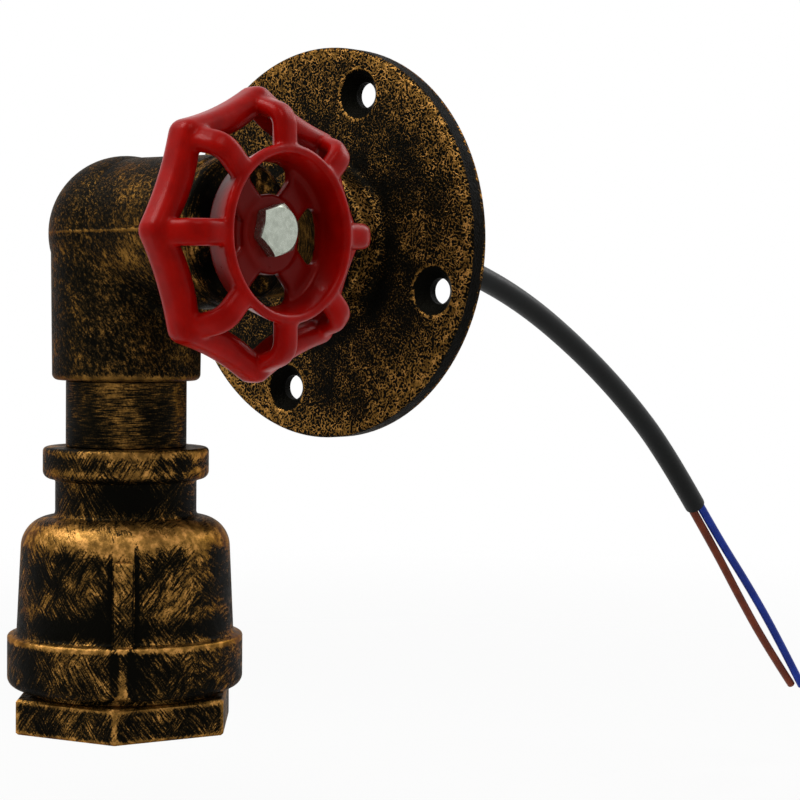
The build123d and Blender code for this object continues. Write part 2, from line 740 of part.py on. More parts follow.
# leads from the sheath's inner end to the terminals
def lead_points(side):
    """Points of one lead: out of the sheath, apart, and down onto its terminal."""
    lead_x, lead_y = lead_at
    return [
        on_drop(side * core_pitch / 2, 0, sheath_end_station),
        on_drop(side * core_pitch / 2, 0, sheath_end_station + 4.5),
        on_drop(side * lead_x, lead_y, terminal_top - 4.2),
        on_drop(side * lead_x, lead_y, terminal_top),
    ]


brown_lead_points = lead_points(-1)
brown_lead_route = cord_route(brown_lead_points)
with BuildPart() as brown_lead:
    with BuildSketch(Plane(origin=brown_lead_route @ 0, z_dir=brown_lead_route % 0)):
        Circle(core_od / 2)
    sweep(path=brown_lead_route)

blue_lead_points = lead_points(1)
blue_lead_route = cord_route(blue_lead_points)
with BuildPart() as blue_lead:
    with BuildSketch(Plane(origin=blue_lead_route @ 0, z_dir=blue_lead_route % 0)):
        Circle(core_od / 2)
    sweep(path=blue_lead_route)

report_cord("supply_cable", supply_cable.part, supply_route, cable_od, supply_points)
report_cord("inner_cable", inner_cable.part, inner_route, cable_od, inner_points)
report_cord("brown_tail", brown_tail.part, brown_tail_route, core_od, brown_tail_points)
report_cord("blue_tail", blue_tail.part, blue_tail_route, core_od, blue_tail_points)
report_cord("brown_lead", brown_lead.part, brown_lead_route, core_od, brown_lead_points)
report_cord("blue_lead", blue_lead.part, blue_lead_route, core_od, blue_lead_points)

# ---------------------------------------------------------------- labels and files
wall_flange.part.label = "wall_flange"
flange_nipple.part.label = "flange_nipple"
corner_elbow.part.label = "corner_elbow"
drop_nipple.part.label = "drop_nipple"
bell_cup.part.label = "bell_cup"
hex_bush.part.label = "hex_bush"
branch_plug.part.label = "branch_plug"
handwheel.part.label = "handwheel"
wheel_bolt.part.label = "wheel_bolt"
lampholder_body.part.label = "lampholder_body"
cushion_ring.part.label = "cushion_ring"
screw_shell.part.label = "screw_shell"
shell_rivets.part.label = "shell_rivets"
neutral_terminal.part.label = "neutral_terminal"
line_terminal.part.label = "line_terminal"
terminal_screws.part.label = "terminal_screws"
contact_rivet.part.label = "contact_rivet"
centre_contact.part.label = "centre_contact"
cable_grommet.part.label = "cable_grommet"
supply_cable.part.label = "supply_cable"
inner_cable.part.label = "inner_cable"
brown_tail.part.label = "brown_tail"
blue_tail.part.label = "blue_tail"
brown_lead.part.label = "brown_lead"
blue_lead.part.label = "blue_lead"

export_step(wall_flange.part, "parts/wall_flange.step")
export_step(flange_nipple.part, "parts/flange_nipple.step")
export_step(corner_elbow.part, "parts/corner_elbow.step")
export_step(drop_nipple.part, "parts/drop_nipple.step")
export_step(bell_cup.part, "parts/bell_cup.step")
export_step(hex_bush.part, "parts/hex_bush.step")
export_step(branch_plug.part, "parts/branch_plug.step")
export_step(handwheel.part, "parts/handwheel.step")
export_step(wheel_bolt.part, "parts/wheel_bolt.step")
export_step(lampholder_body.part, "parts/lampholder_body.step")
export_step(cushion_ring.part, "parts/cushion_ring.step")
export_step(screw_shell.part, "parts/screw_shell.step")
export_step(shell_rivets.part, "parts/shell_rivets.step")
export_step(neutral_terminal.part, "parts/neutral_terminal.step")
export_step(line_terminal.part, "parts/line_terminal.step")
export_step(terminal_screws.part, "parts/terminal_screws.step")
export_step(contact_rivet.part, "parts/contact_rivet.step")
export_step(centre_contact.part, "parts/centre_contact.step")
export_step(cable_grommet.part, "parts/cable_grommet.step")
export_step(supply_cable.part, "parts/supply_cable.step")
export_step(inner_cable.part, "parts/inner_cable.step")
export_step(brown_tail.part, "parts/brown_tail.step")
export_step(blue_tail.part, "parts/blue_tail.step")
export_step(brown_lead.part, "parts/brown_lead.step")
export_step(blue_lead.part, "parts/blue_lead.step")
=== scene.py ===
"""Looks of an industrial pipe wall light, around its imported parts.

The origin is the centre of the wall flange's back face. The wall is the plane Y = 0, the light stands
out towards -Y, +Z is up and +X points along the sideways leg to the handwheel. Lengths are metres, and
millimetres where a name or a docstring says so.
"""

import logging
import math
from dataclasses import dataclass
from enum import Enum

import bmesh
import bpy
from mathutils import Matrix, Vector


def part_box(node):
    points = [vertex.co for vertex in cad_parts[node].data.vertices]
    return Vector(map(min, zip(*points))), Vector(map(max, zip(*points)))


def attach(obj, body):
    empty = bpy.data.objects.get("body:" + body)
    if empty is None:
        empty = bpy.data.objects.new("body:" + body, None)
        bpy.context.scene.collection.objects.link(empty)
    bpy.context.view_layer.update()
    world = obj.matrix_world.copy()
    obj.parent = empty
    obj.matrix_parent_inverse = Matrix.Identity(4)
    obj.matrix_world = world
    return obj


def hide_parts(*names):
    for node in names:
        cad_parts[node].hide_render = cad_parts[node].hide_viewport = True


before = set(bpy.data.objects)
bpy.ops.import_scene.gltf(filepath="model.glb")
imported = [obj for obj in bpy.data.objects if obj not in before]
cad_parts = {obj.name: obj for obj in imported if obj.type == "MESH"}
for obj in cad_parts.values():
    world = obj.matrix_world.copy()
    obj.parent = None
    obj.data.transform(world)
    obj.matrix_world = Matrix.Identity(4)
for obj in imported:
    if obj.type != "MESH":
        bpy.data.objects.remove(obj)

MM = 0.001
LOG = logging.getLogger("pipe_light")

Colour = tuple[float, float, float, float]
Point = tuple[float, float, float]
WHITE: Colour = (1.0, 1.0, 1.0, 1.0)

SCREEN_STEPS = 255
DARK_END, DARK_SLOPE = 0.04045, 12.92            # the screen curve's straight part
CURVE_LIFT, CURVE_POWER = 0.055, 2.4             # and its bent part


def paint(red: int, green: int, blue: int) -> Colour:
    """Turn a colour written in 0 to 255 steps, as a screen shows it, into a shader's colour.

    Args:
        red: Red step.
        green: Green step.
        blue: Blue step.

    Returns:
        The linear colour with full alpha.
    """
    def linear(step: int) -> float:
        """Undo the screen's curve for one channel.

        Args:
            step: The channel's step.

        Returns:
            Its light, from 0 to 1.
        """
        share = step / SCREEN_STEPS
        if share <= DARK_END:
            return share / DARK_SLOPE
        return ((share + CURVE_LIFT) / (1 + CURVE_LIFT)) ** CURVE_POWER

    return (linear(red), linear(green), linear(blue), 1.0)


def reach_of(node: str) -> float:
    """Measure how far a node stands out from the wall.

    Args:
        node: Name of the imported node.

    Returns:
        The distance from the wall to the middle of its box, in millimetres.
    """
    low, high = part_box(node)
    return -(low.y + high.y) / 2 / MM


DROP_REACH = reach_of("drop_nipple")
WHEEL_LOW, WHEEL_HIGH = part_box("handwheel")
WHEEL_RISE = (WHEEL_LOW.z + WHEEL_HIGH.z) / 2 / MM


# ---------------------------------------------------------------- shader maths
class Value:
    """A shader socket that takes arithmetic as a number does."""

    def __init__(self, nodes: "Nodes", socket: bpy.types.NodeSocket) -> None:
        """Keep the socket and the nodes that it belongs to."""
        self.nodes = nodes
        self.socket = socket

    def maths(self, operation: str, *terms: "Value | float") -> "Value":
        """Add a Math node.

        Args:
            operation: The node's operation.
            *terms: Values or numbers for its sockets, in order.

        Returns:
            The node's result.
        """
        return self.nodes.value("ShaderNodeMath", {"operation": operation}, dict(enumerate(terms)))

    def __add__(self, other: "Value | float") -> "Value":
        """Sum."""
        return self.maths("ADD", self, other)

    def __radd__(self, other: float) -> "Value":
        """Sum with a number in front."""
        return self.maths("ADD", other, self)

    def __sub__(self, other: "Value | float") -> "Value":
        """Difference."""
        return self.maths("SUBTRACT", self, other)

    def __rsub__(self, other: float) -> "Value":
        """Difference from a number."""
        return self.maths("SUBTRACT", other, self)

    def __mul__(self, other: "Value | float") -> "Value":
        """Product."""
        return self.maths("MULTIPLY", self, other)

    def __rmul__(self, other: float) -> "Value":
        """Product with a number in front."""
        return self.maths("MULTIPLY", other, self)

    def __pow__(self, other: float) -> "Value":
        """Power."""
        return self.maths("POWER", self, other)

    def __abs__(self) -> "Value":
        """Size without its sign."""
        return self.maths("ABSOLUTE", self)

    def smooth(self, low: float, high: float) -> "Value":
        """Rise from 0 at low to 1 at high, eased at both ends."""
        return self.nodes.value(
            "ShaderNodeMapRange", {"interpolation_type": "SMOOTHSTEP"},
            {"Value": self, "From Min": low, "From Max": high})

    def between(self, low: float, high: float) -> "Value":
        """Go in a straight line from low, where this is 0, to high, where it is 1."""
        return self * (high - low) + low

    def near(self, place: float, reach: float) -> "Value":
        """Rise to 1 at a place from 0 at a distance of reach either side."""
        return 1 - abs(self - place).smooth(0, reach)

    def over(self, other: "Value | float") -> "Value":
        """Take the larger of this and another."""
        return self.maths("MAXIMUM", self, other)


# Numbers of a Mix node's colour sockets, whose names it has more than once.
MIX_FACTOR, MIX_COLOUR_A, MIX_COLOUR_B = 0, 6, 7
MIX_RESULT_COLOUR = 2


class Line(Enum):
    """Axis that a round piece is made about.

    WALL is the pipe that leaves the wall, DROP the pipe that hangs down and BRANCH the sideways leg.
    WHEEL is the handwheel's own axis, which hangs a little below the sideways leg's.
    """

    WALL = "wall"
    DROP = "drop"
    BRANCH = "branch"
    WHEEL = "wheel"


@dataclass
class Spot:
    """Where a shaded point lies about an axis, in millimetres and degrees.

    Attributes:
        across: Distance from the axis in a first direction.
        aside: Distance from it in a second direction, square to the first.
        station: Distance along the axis, away from the part's origin.
        radius: Distance from the axis.
        angle: Angle round the axis, from the first direction.
    """

    across: Value
    aside: Value
    station: Value
    radius: Value
    angle: Value


class Nodes:
    """Node tree of a material or a world, emptied and then built from expressions."""

    def __init__(self, tree: bpy.types.NodeTree) -> None:
        """Empty the tree.

        Args:
            tree: The tree.
        """
        self.tree = tree
        self.tree.nodes.clear()

    def node(self, kind: str, settings: dict | None = None,
             sockets: dict | None = None) -> bpy.types.Node:
        """Add a node.

        Args:
            kind: Blender's type name of the node.
            settings: Its own settings, among them a ramp's "stops" as (position, colour) pairs.
            sockets: Values, numbers or colours for its sockets, by name or by number.

        Returns:
            The new node.
        """
        node = self.tree.nodes.new(kind)
        for key, setting in (settings or {}).items():
            if key == "stops":
                for extra in setting[2:]:
                    node.color_ramp.elements.new(extra[0])
                for element, (position, colour) in zip(node.color_ramp.elements, setting):
                    element.position = position
                    element.color = colour
            else:
                setattr(node, key, setting)
        for key, given in (sockets or {}).items():
            if isinstance(given, Value):
                self.tree.links.new(given.socket, node.inputs[key])
            else:
                node.inputs[key].default_value = given
        return node

    def value(self, kind: str, settings: dict | None = None, sockets: dict | None = None,
              output: int | str = 0) -> Value:
        """Add a node, as node does, and take one of its outputs, named or numbered."""
        return Value(self, self.node(kind, settings, sockets).outputs[output])


class Shader(Nodes):
    """One material's nodes."""

    def __init__(self, name: str) -> None:
        """Start an empty material.

        Args:
            name: The material's name.
        """
        self.material = bpy.data.materials.new(name)
        self.material.use_nodes = True
        super().__init__(self.material.node_tree)
        self._place: Value | None = None

    def place(self) -> Value:
        """Read where the shaded point is, once for each material.

        Returns:
            The point in the part's own frame, in millimetres.
        """
        if self._place is None:
            here = self.value("ShaderNodeTexCoord", output="Object")
            self._place = self.value("ShaderNodeVectorMath", {"operation": "SCALE"},
                                     {0: here, "Scale": 1 / MM})
        return self._place

    def parts(self, vector: Value) -> list[Value]:
        """Take a vector's three numbers."""
        node = self.node("ShaderNodeSeparateXYZ", sockets={0: vector})
        return [Value(self, socket) for socket in node.outputs]

    def vector(self, x: Value | float, y: Value | float, z: Value | float) -> Value:
        """Make a vector of three numbers."""
        return self.value("ShaderNodeCombineXYZ", sockets={0: x, 1: y, 2: z})

    def about(self, line: Line) -> Spot:
        """Measure the shaded point about an axis.

        Args:
            line: The axis.

        Returns:
            Where it lies.
        """
        x, y, z = self.parts(self.place())
        if line is Line.WALL:
            across, aside, station = x, z, y * -1
        elif line is Line.DROP:
            across, aside, station = x, y + DROP_REACH, z * -1
        elif line is Line.BRANCH:
            across, aside, station = y + DROP_REACH, z, x
        else:
            across, aside, station = y + DROP_REACH, z - WHEEL_RISE, x
        radius = (across * across + aside * aside) ** 0.5
        angle = across.maths("ARCTAN2", aside, across) * math.degrees(1)
        return Spot(across, aside, station, radius, angle)

    def noise(self, vector: Value, scale: float, detail: float, roughness: float = 0.5) -> Value:
        """Make a cloudy noise of about 0.5.

        Args:
            vector: Where it is read, in millimetres.
            scale: Clouds for each millimetre.
            detail: How many finer layers it has.
            roughness: How strong the finer layers are.

        Returns:
            The noise, mostly between 0.3 and 0.7.
        """
        return self.value("ShaderNodeTexNoise", None,
                          {"Vector": vector, "Scale": scale, "Detail": detail, "Roughness": roughness})

    def mix(self, share: Value | float, first: Value | Colour, second: Value | Colour) -> Value:
        """Mix two colours: the first where the share is 0, the second where it is 1."""
        return self.value(
            "ShaderNodeMix", {"data_type": "RGBA"},
            {MIX_FACTOR: share, MIX_COLOUR_A: first, MIX_COLOUR_B: second}, output=MIX_RESULT_COLOUR)

    def ramp(self, share: Value, *stops: tuple[float, Colour]) -> Value:
        """Turn a share into the colour at that place in a row of stops."""
        return self.value("ShaderNodeValToRGB", {"stops": stops}, {0: share})

    def bump(self, height: Value, depth: float) -> Value:
        """Tilt the surface's normal by a relief.

        Args:
            height: Its height, from 0 to 1.
            depth: Height of 1, in millimetres.

        Returns:
            The bumped normal.
        """
        return self.value("ShaderNodeBump", None,
                          {"Height": height, "Distance": depth * MM, "Strength": 1.0})

    def finish(self, sockets: dict) -> bpy.types.Material:
        """Close the material with its surface.

        Args:
            sockets: Values or numbers of the surface's sockets.

        Returns:
            The material.
        """
        surface = self.value("ShaderNodeBsdfPrincipled", None, sockets, output="BSDF")
        self.node("ShaderNodeOutputMaterial", None, {"Surface": surface})
        return self.material


# ---------------------------------------------------------------- finishes
class Brush(Enum):
    """Grain that the worn coating follows.

    ROUND is drawn round the piece, HATCHED crosses in two directions, DABBED is blotted on, and WORMY is
    the short curled grain of a cast skin.
    """

    ROUND = "round"
    HATCHED = "hatched"
    DABBED = "dabbed"
    WORMY = "wormy"


class Measure(Enum):
    """What a band is measured by."""

    STATION = "station"
    RADIUS = "radius"


@dataclass(frozen=True)
class Band:
    """A ring about a piece's axis where the black is worn through, or kept.

    Attributes:
        measure: Whether at is a station along the axis or a radius from it.
        at: Middle of the band, in millimetres.
        reach: Distance to its two edges, in millimetres.
        amount: How much it adds to the share of bronze, or takes from it where it is below 0.
    """

    measure: Measure
    at: float
    reach: float
    amount: float


@dataclass(frozen=True)
class Corners:
    """Places spaced evenly round a piece's axis where the black is worn through, or kept.

    Attributes:
        count: How many there are.
        turn: Angle of the first, in degrees.
        radius: Their distance from the axis, in millimetres, or 0 for the whole direction.
        reach: How far each goes, in millimetres.
        amount: How much it adds to the share of bronze, or takes from it where it is below 0.
    """

    count: int
    turn: float
    radius: float
    reach: float
    amount: float


BLACK = paint(8, 8, 6)
SOOT = paint(30, 24, 13)
BRONZE_DARK = paint(76, 54, 24)
BRONZE = paint(130, 94, 44)
BRONZE_BRIGHT = paint(190, 138, 74)
BARING = ((0.0, BLACK), (0.28, SOOT), (0.55, BRONZE_DARK), (0.8, BRONZE), (1.0, BRONZE_BRIGHT))
BRASS, BRASS_DULL = paint(228, 192, 110), paint(216, 178, 96)
EDGE_SHEEN = paint(150, 132, 104)
RED_SHEEN = paint(255, 110, 96)

EVEN = 0.5                                       # middle of a noise
HATCH_TURN, HATCH_WIDTH = 0.6, 0.86              # share of Y in the way across, and its scale
HATCH_SLOPE = 0.64                               # how far a stroke runs sideways as it rises
HATCH_DRAWN, HATCH_CLOSE = 0.17, 2.1             # scales along a stroke and across it
HATCH_BEND = 2.4                                 # how far strokes wander
HATCH_DEPTH = 0.35                               # scale into the piece
LATHE_ACROSS, LATHE_ALONG = 0.30, 4.2            # scales of marks drawn round a pipe
DAB_ACROSS, DAB_UP = 1.5, 0.9                    # dabs for each millimetre sideways and upwards
DAB_LEAN_X, DAB_LEAN_Y = 0.6, 0.4                # how far a dab runs sideways as it rises
WORM_WIDTH = 0.15                                # how far from the noise's middle a worm reaches
SEAM_REACH, SEAM_HEIGHT = 0.55, 1.6              # half the width of a moulding line, and its height
PLACE_EDGE = 0.86                                # share of its reach at which a worn place starts to fade
BRUSHED_SHARE = 0.7                              # share of the relief that follows the brush
DIMMEST = 0.6                                    # how bright the dullest bared places are
IRON_METALLIC = (0.50, 0.75)                     # of the black coating and of the bared bronze
IRON_ROUGHNESS = (0.50, 0.36)                    # likewise
TONE_ROUGHNESS = (-0.06, 0.06)                   # what the dullest and the brightest places add to it
IRON_SHINE = 0.06                                # specular level of the iron


@dataclass(frozen=True)
class WornIron:
    """Black coating on iron, brushed through to bronze.

    Attributes:
        name: The material's name.
        line: Axis of the piece.
        brush: Grain of the wear.
        coverage: Share of the surface that shows bronze.
        patches: How much that share differs from place to place.
        grained: Share of fine grain in the wear.
        softness: Width of the step from black to bronze.
        bared: How far the brightest places are bared, up to 1.
        bands: Worn or kept rings.
        corners: Worn or kept places round the axis.
        relief: Depth of the surface's roughness, in millimetres.
        seam: Station of a moulding line, in millimetres, or None.
    """

    name: str
    line: Line
    brush: Brush
    coverage: float
    patches: float
    grained: float = 0.3
    softness: float = 0.30
    bared: float = 1.0
    bands: tuple[Band, ...] = ()
    corners: tuple[Corners, ...] = ()
    relief: float = 0.05
    seam: float | None = None

    def hatch(self, shader: Shader, lean: float) -> Value:
        """Draw a noise out into short strokes.

        Args:
            shader: The material's nodes.
            lean: 1 for strokes that rise to the right, -1 for strokes that fall.

        Returns:
            The noise.
        """
        x, y, z = shader.parts(shader.place())
        sideways = (x + y * HATCH_TURN) * HATCH_WIDTH
        along = (sideways * HATCH_SLOPE + z * lean) * HATCH_DRAWN
        over = (sideways - z * (HATCH_SLOPE * lean)) * HATCH_CLOSE
        bent = shader.noise(shader.place(), scale=0.22, detail=1.0) * HATCH_BEND
        strokes = shader.vector(along, over + bent, y * HATCH_DEPTH)
        return shader.noise(strokes, scale=1.0, detail=4.0, roughness=0.66)

    def drawn(self, shader: Shader, spot: Spot) -> Value:
        """Work out the marks of the brush, from 0 in the hollows to 1 on the tops.

        Args:
            shader: The material's nodes.
            spot: Where the shaded point lies about the piece's axis.

        Returns:
            The marks.
        """
        if self.brush is Brush.ROUND:
            rings = shader.vector(
                spot.across * LATHE_ACROSS, spot.aside * LATHE_ACROSS, spot.station * LATHE_ALONG)
            return shader.noise(rings, scale=1.0, detail=3.0, roughness=0.65).smooth(0.22, 0.78)
        if self.brush is Brush.HATCHED:
            side = shader.noise(shader.place(), scale=0.13, detail=1.0).smooth(0.44, 0.56)
            rising = self.hatch(shader, 1.0)
            falling = self.hatch(shader, -1.0)
            return (rising * side + falling * (1 - side)).smooth(0.24, 0.76)
        if self.brush is Brush.DABBED:
            x, y, z = shader.parts(shader.place())
            dabs = shader.vector(
                x * DAB_ACROSS + z * DAB_LEAN_X, y * DAB_ACROSS + z * DAB_LEAN_Y, z * DAB_UP)
            return shader.noise(dabs, scale=1.0, detail=3.0, roughness=0.68).smooth(0.27, 0.73)
        worms = shader.noise(shader.place(), scale=1.15, detail=1.0, roughness=0.4)
        return 1 - abs(worms - EVEN).smooth(0.0, WORM_WIDTH)

    def texture(self, shader: Shader, spot: Spot) -> Value:
        """Mix fine grain in among the marks of the brush."""
        grain = shader.noise(shader.place(), scale=2.6, detail=2.0, roughness=0.6).smooth(0.32, 0.68)
        return self.drawn(shader, spot) * (1 - self.grained) + grain * self.grained

    def exposure(self, shader: Shader, spot: Spot) -> Value:
        """Work out the share of bronze that each place shows.

        Args:
            shader: The material's nodes.
            spot: Where the shaded point lies about the piece's axis.

        Returns:
            The share, which may pass 0 or 1.
        """
        patch = shader.noise(shader.place(), scale=0.10, detail=3.0, roughness=0.6)
        share = (patch - EVEN) * self.patches + self.coverage
        for band in self.bands:
            measured = spot.station if band.measure is Measure.STATION else spot.radius
            share = share + measured.near(band.at, band.reach) * band.amount
        for ring in self.corners:
            share = share + self.corner(spot, ring) * ring.amount
        return share

    def corner(self, spot: Spot, ring: Corners) -> Value:
        """Mark the worn places of one ring.

        Args:
            spot: Where the shaded point lies about the piece's axis.
            ring: The places.

        Returns:
            1 at each place, falling to 0 at its reach.
        """
        step = 360 / ring.count
        folded = spot.angle.maths("FLOORED_MODULO", spot.angle - ring.turn + step / 2, step) - step / 2
        turned = folded * math.radians(1)
        aside = spot.radius * turned.maths("SINE", turned)
        if not ring.radius:
            return 1 - abs(aside).smooth(0, ring.reach)
        outward = spot.radius * turned.maths("COSINE", turned) - ring.radius
        away = (aside * aside + outward * outward) ** 0.5
        return 1 - away.smooth(ring.reach * PLACE_EDGE, ring.reach)

    def make(self) -> bpy.types.Material:
        """Build the material.

        Returns:
            The material.
        """
        shader = Shader(self.name)
        spot = shader.about(self.line)
        texture = self.texture(shader, spot)
        level = texture + self.exposure(shader, spot) - 1
        worn = level.smooth(-self.softness, self.softness)
        tone = shader.noise(shader.place(), scale=0.42, detail=4.0, roughness=0.65).smooth(0.3, 0.7)
        height = texture * BRUSHED_SHARE + tone * (1 - BRUSHED_SHARE)
        if self.seam is not None:
            height = height + spot.station.near(self.seam, SEAM_REACH) * SEAM_HEIGHT
        return shader.finish({
            "Base Color": shader.ramp(worn * tone.between(DIMMEST, 1.0) * self.bared, *BARING),
            "Metallic": worn.between(*IRON_METALLIC),
            "Roughness": worn.between(*IRON_ROUGHNESS) + tone.between(*TONE_ROUGHNESS),
            "Specular IOR Level": IRON_SHINE,
            "Specular Tint": EDGE_SHEEN,
            "Normal": shader.bump(height, self.relief),
        })


@dataclass(frozen=True)
class Enamel:
    """Gloss paint with a little orange peel, and painted shade low in the handwheel's bowl.

    Attributes:
        name: The material's name.
        colour: Colour of the paint.
        shade: Its darker tone.
        painted_shade: Its darker tone low in the wheel's bowl, painted shade where the bowl lies in
            shadow.
        bowl: Radius of the bowl, in millimetres.
        wall: Radius at which the painted shade starts to fade.
        web: Station of the bowl's bottom.
        lip: Station of the bowl's lip.
        peel: Depth of the orange peel.
        sleek: Roughness where the paint is smoothest.
        rough: Roughness where it is roughest.
        shine: Strength of its plain reflection.
        coat: Weight of its clear coat.
        coat_roughness: Roughness of the clear coat.
    """

    name: str
    colour: Colour
    shade: Colour
    painted_shade: Colour
    bowl: float = 20.0
    wall: float = 16.0
    web: float = 44.5
    lip: float = 50.5
    peel: float = 0.03
    sleek: float = 0.22
    rough: float = 0.42
    shine: float = 0.14
    coat: float = 0.04
    coat_roughness: float = 0.12

    def make(self) -> bpy.types.Material:
        """Build the material.

        Returns:
            The material.
        """
        shader = Shader(self.name)
        cloud = shader.noise(shader.place(), scale=0.25, detail=3.0)
        peel = shader.noise(shader.place(), scale=0.9, detail=2.0)
        spot = shader.about(Line.WHEEL)
        # Painted shade: inside the bowl's wall and below its lip the paint turns to a darker tone, where
        # the bowl lies in shadow.
        shade_inside_wall = 1 - spot.radius.smooth(self.wall, self.bowl)
        shade_below_lip = 1 - spot.station.smooth(self.web, self.lip)
        paintwork = shader.mix(cloud.smooth(0.3, 0.7), self.shade, self.colour)
        return shader.finish({
            "Base Color": shader.mix(shade_inside_wall * shade_below_lip, paintwork, self.painted_shade),
            "Roughness": cloud.between(self.sleek, self.rough),
            "Specular IOR Level": self.shine,
            "Specular Tint": RED_SHEEN,
            "Coat Weight": self.coat,
            "Coat Roughness": self.coat_roughness,
            "Normal": shader.bump(peel, self.peel),
        })


@dataclass(frozen=True)
class Plated:
    """Bare or plated metal with a mottled surface and fine turning marks.

    Attributes:
        name: The material's name.
        line: Axis of its turning marks.
        colour: Its main colour.
        dull: Its duller tone.
        roughness: Its mean roughness.
        uneven: How much its roughness differs from place to place.
        turns: Turning marks for each millimetre.
        marks: Depth of its turning marks, in millimetres.
        metallic: How far it shines as bare metal does.
    """

    name: str
    line: Line
    colour: Colour
    dull: Colour
    roughness: float = 0.28
    uneven: float = 0.15
    turns: float = 4.0
    marks: float = 0.015
    metallic: float = 0.9

    def make(self) -> bpy.types.Material:
        """Build the material.

        Returns:
            The material.
        """
        shader = Shader(self.name)
        spot = shader.about(self.line)
        mottle = shader.noise(shader.place(), scale=0.7, detail=4.0, roughness=0.6)
        turned = shader.vector(spot.radius * self.turns, spot.station * self.turns, mottle)
        rings = shader.noise(turned, scale=1.0, detail=2.0)
        return shader.finish({
            "Base Color": shader.mix(mottle.smooth(0.35, 0.65), self.dull, self.colour),
            "Metallic": self.metallic,
            "Roughness": self.roughness + (mottle - EVEN) * self.uneven,
            "Normal": shader.bump(rings, self.marks),
        })


@dataclass(frozen=True)
class Moulded:
    """Plastic, rubber, fibre or glazed porcelain.

    Attributes:
        name: The material's name.
        colour: Its main colour.
        shade: Its second tone.
        roughness: Its mean roughness.
        uneven: How much its roughness differs from place to place.
        clouds: Size of its tone changes, in clouds for each millimetre.
        relief: Depth of its surface texture, in millimetres.
        grain: Fineness of that texture, in grains for each millimetre.
        coat: Weight of a glaze.
        coat_roughness: Roughness of the glaze.
        shine: Strength of its plain reflection.
    """

    name: str
    colour: Colour
    shade: Colour
    roughness: float
    uneven: float = 0.3
    clouds: float = 0.2
    relief: float = 0.01
    grain: float = 2.0
    coat: float = 0.0
    coat_roughness: float = 0.06
    shine: float = 0.5

    def make(self) -> bpy.types.Material:
        """Build the material.

        Returns:
            The material.
        """
        shader = Shader(self.name)
        cloud = shader.noise(shader.place(), scale=self.clouds, detail=3.0, roughness=0.55)
        fine = shader.noise(shader.place(), scale=self.grain, detail=2.0)
        return shader.finish({
            "Base Color": shader.mix(cloud.smooth(0.35, 0.65), self.shade, self.colour),
            "Roughness": self.roughness + (fine - EVEN) * self.uneven,
            "Specular IOR Level": self.shine,
            "Coat Weight": self.coat,
            "Coat Roughness": self.coat_roughness,
            "Normal": shader.bump(fine, self.relief),
        })


Finish = WornIron | Enamel | Plated | Moulded


def nipple_finish(name: str, line: Line) -> WornIron:
    """Describe the finish of a pipe nipple, brushed round and round.

    Args:
        name: The material's name.
        line: Axis of the nipple.

    Returns:
        The finish.
    """
    return WornIron(name, line, Brush.ROUND, coverage=0.47, patches=1.4, grained=0.2, softness=0.38,
                    bared=0.88, relief=0.03)


# ---------------------------------------------------------------- mesh helpers
WELD = 0.001 * MM                                # loose corners this close are one point
SKIN_SCALE = 0.95                                # share of its grid that a remeshed skin fills
SMOOTHING = 0.5                                  # how far a pass moves a point to its neighbours


def dress(node: str, finish: Finish) -> None:
    """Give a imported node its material.

    Args:
        node: Name of the node.
        finish: Its finish.
    """
    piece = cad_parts[node]
    piece.data.materials.clear()
    piece.data.materials.append(finish.make())
    LOG.info("dressed %s in %s", node, finish.name)


def link(name: str, data: bpy.types.ID) -> bpy.types.Object:
    """Put new data in the scene as an object at the origin.

    Args:
        name: Name of the object.
        data: Its mesh, curve, lamp or camera.

    Returns:
        The object.
    """
    piece = bpy.data.objects.new(name, data)
    bpy.context.scene.collection.objects.link(piece)
    return piece


def baked(piece: bpy.types.Object) -> bpy.types.Object:
    """Apply every modifier of a piece.

    Args:
        piece: A mesh object with modifiers.

    Returns:
        The same object, with the result as its mesh.
    """
    evaluated = piece.evaluated_get(bpy.context.evaluated_depsgraph_get())
    mesh = bpy.data.meshes.new_from_object(evaluated)
    mesh.name = piece.name
    piece.modifiers.clear()
    piece.data = mesh
    return piece


def softened(node: str, name: str, depth: int, swell: float, passes: int) -> bpy.types.Object:
    """Copy a node as one even skin with cast, blended edges.

    Args:
        node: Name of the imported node.
        name: Name of the new piece.
        depth: How many times the skin's grid is halved.
        swell: How far the skin is let out before it is smoothed, in metres.
        passes: How many times it is smoothed.

    Returns:
        The new piece.
    """
    copy = bmesh.new()
    copy.from_mesh(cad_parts[node].data)
    bmesh.ops.remove_doubles(copy, verts=copy.verts, dist=WELD)
    mesh = bpy.data.meshes.new(name)
    copy.to_mesh(mesh)
    copy.free()
    piece = link(name, mesh)
    skin = piece.modifiers.new("skin", "REMESH")
    skin.mode = "SMOOTH"
    skin.octree_depth = depth
    skin.scale = SKIN_SCALE
    skin.use_smooth_shade = True
    grown = piece.modifiers.new("grown", "DISPLACE")
    grown.mid_level = 0.0
    grown.strength = swell
    blend = piece.modifiers.new("blend", "SMOOTH")
    blend.factor = SMOOTHING
    blend.iterations = passes
    return baked(piece)


